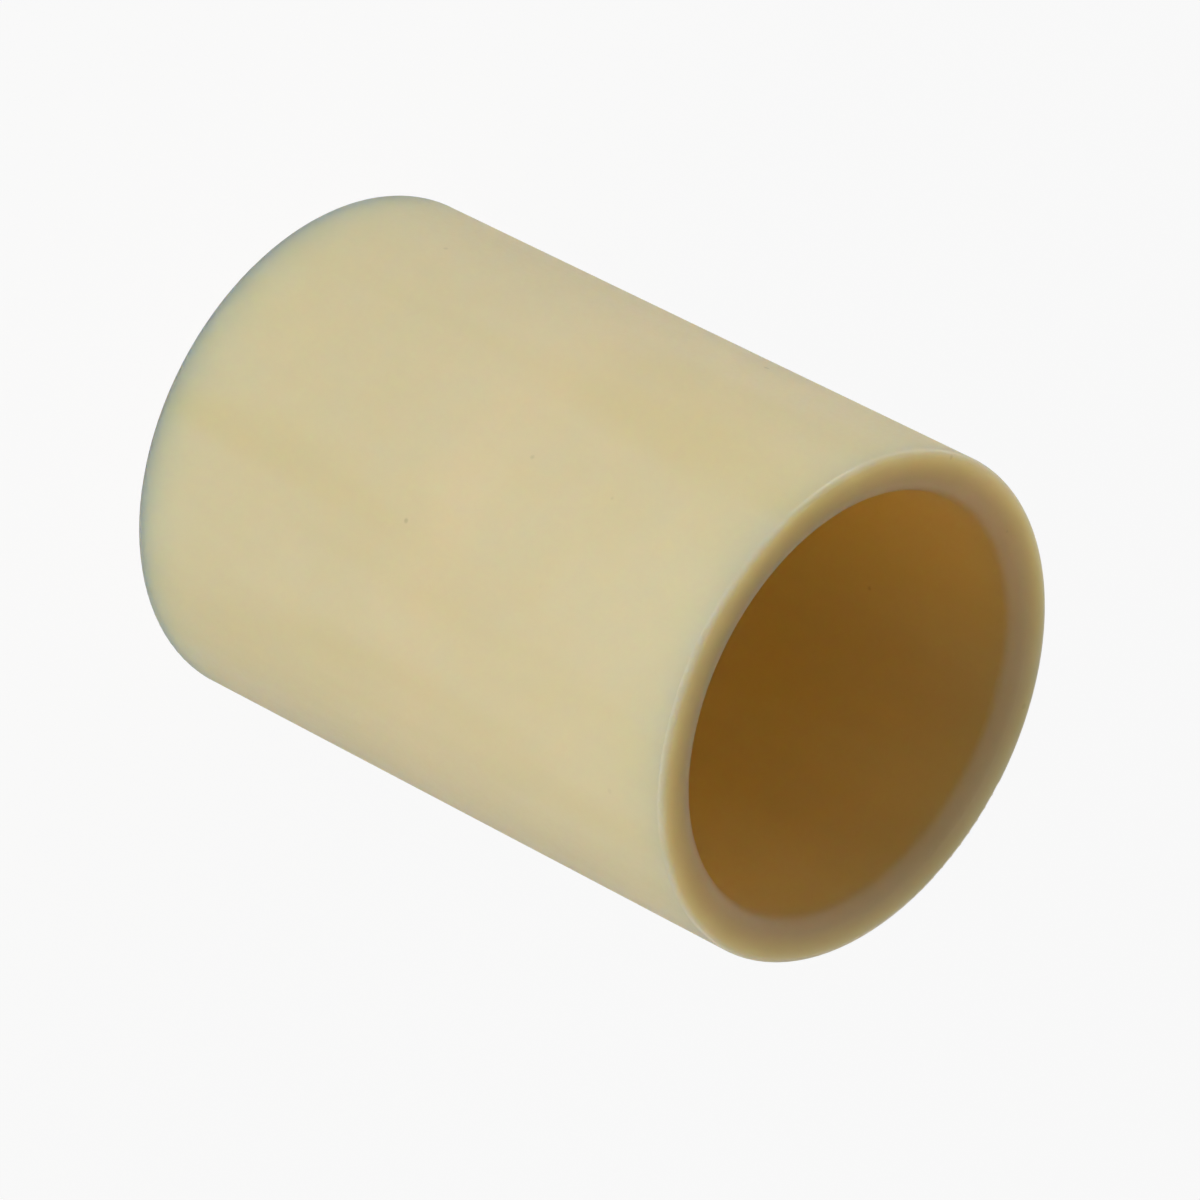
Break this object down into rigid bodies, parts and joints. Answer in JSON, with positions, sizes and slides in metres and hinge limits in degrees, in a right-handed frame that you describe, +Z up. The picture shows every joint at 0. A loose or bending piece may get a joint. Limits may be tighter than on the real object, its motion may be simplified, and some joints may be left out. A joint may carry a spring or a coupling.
{
  "type": "pipe coupling",
  "caption": "Straight coupling for CPVC water pipe: a plain round cream sleeve with a tapered socket at each end, rounded mouths and a stop ring at mid-length.",
  "frame": {"origin": "centre of the lower end face, which the coupling stands on", "axes": "+Z up along the bore, out of the upper socket; X and Y are free, because the part is round"},
  "size_m": [0.0348, 0.0348, 0.0483],
  "materials": {
    "cpvc": "satin"
  },
  "bodies": {
    "root": {"coupling": "cpvc"}
  },
  "joints": []
}
